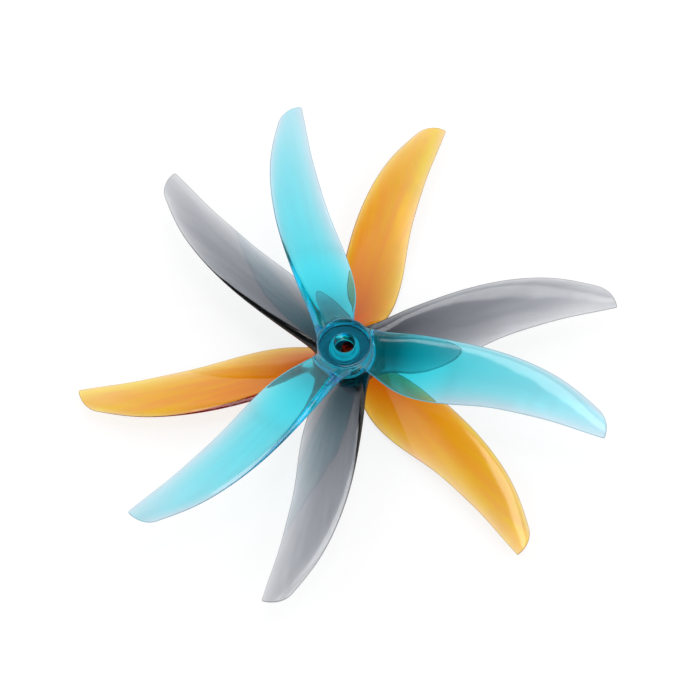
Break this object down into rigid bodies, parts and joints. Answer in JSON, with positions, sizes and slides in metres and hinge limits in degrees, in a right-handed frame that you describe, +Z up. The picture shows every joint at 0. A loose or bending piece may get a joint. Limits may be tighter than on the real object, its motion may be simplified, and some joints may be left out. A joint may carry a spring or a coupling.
{
  "type": "multirotor propeller stack",
  "caption": "Translucent three-blade propellers with curved, twisted blades, stacked hub on hub so that their blades fan out like a flower.",
  "frame": {"origin": "centre of the bottom hub's underside, on its bore axis; the stack stands on this face", "axes": "+Z up along the bores, towards the top hub; each propeller's first blade is turned anticlockwise from +X"},
  "size_m": [0.1295, 0.1264, 0.021],
  "materials": {
    "orange_polycarbonate": "polished, translucent orange, paler where the blade is thin",
    "smoke_polycarbonate": "polished, translucent smoke grey, paler where the blade is thin",
    "teal_polycarbonate": "polished, translucent teal, paler where the blade is thin"
  },
  "bodies": {
    "propeller_bottom": {"propeller_bottom_orange": "orange_polycarbonate"},
    "propeller_middle": {"propeller_middle_smoke": "smoke_polycarbonate"},
    "propeller_top": {"propeller_top_teal": "teal_polycarbonate"}
  },
  "joints": [
    {"name": "middle_turn", "type": "hinge", "parent": "propeller_bottom", "child": "propeller_middle", "pos_m": [0.00095, -0.0034, 0.0105], "axis": [0, 0, 1], "continuous": true},
    {"name": "top_turn", "type": "hinge", "parent": "propeller_middle", "child": "propeller_top", "pos_m": [-0.00065, -0.0044, 0.0175], "axis": [0, 0, 1], "continuous": true}
  ]
}
